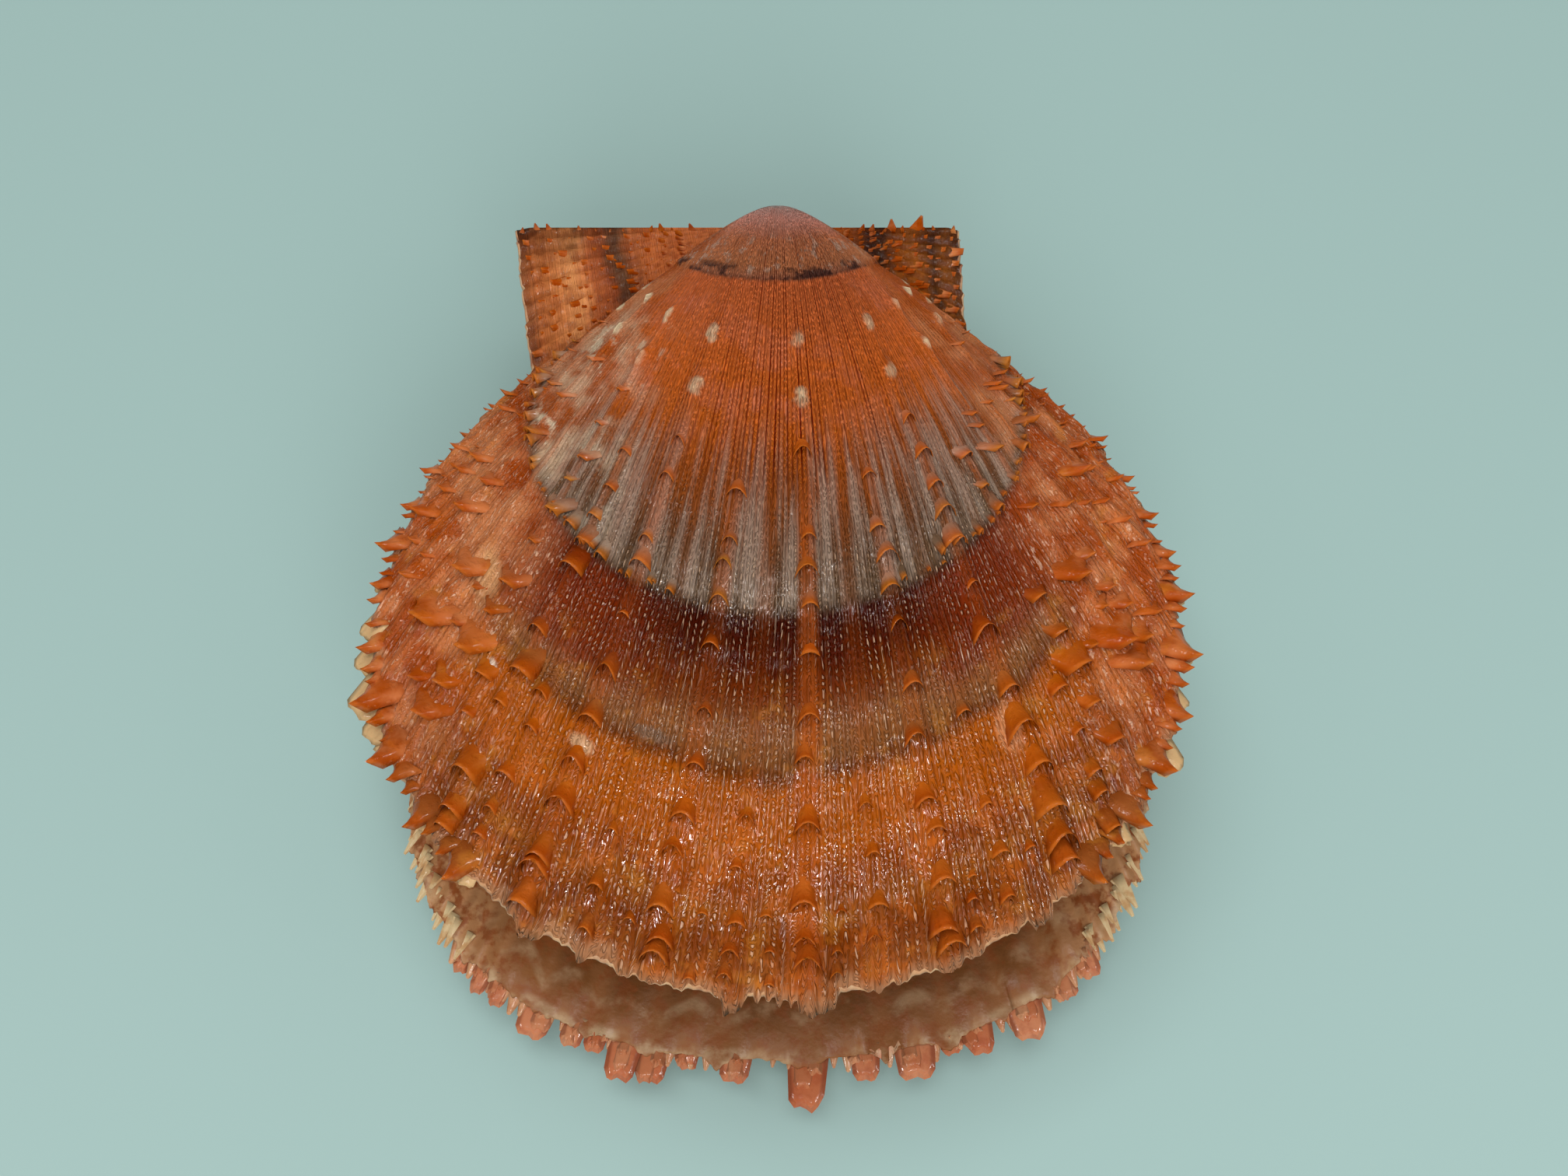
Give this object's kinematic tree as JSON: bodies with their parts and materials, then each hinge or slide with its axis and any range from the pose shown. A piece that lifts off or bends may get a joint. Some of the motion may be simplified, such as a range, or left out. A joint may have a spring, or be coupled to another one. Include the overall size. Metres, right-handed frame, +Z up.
{
  "type": "scallop shell",
  "caption": "Scallop shell with both valves gaping at the front: ribbed fans set with rows of scales, two unequal ears and a dark ligament along the hinge.",
  "frame": {"origin": "middle of the worn spot on the lower valve's belly, on the surface that the shell rests on", "axes": "+Z up; the hinge runs along X at +Y, the longer ear towards -X, and the ventral margins face -Y"},
  "size_m": [0.0716, 0.0788, 0.0333],
  "materials": {
    "upper_shell": "glossy orange shell with maroon and grey-white growth bands",
    "lower_shell": "satin cream shell with soft orange-brown mottling and orange scales",
    "ligament": "dry, dark brown, slightly glossy"
  },
  "bodies": {
    "root": {"upper_valve": "upper_shell", "lower_valve": "lower_shell", "hinge_ligament": "ligament"}
  },
  "joints": []
}
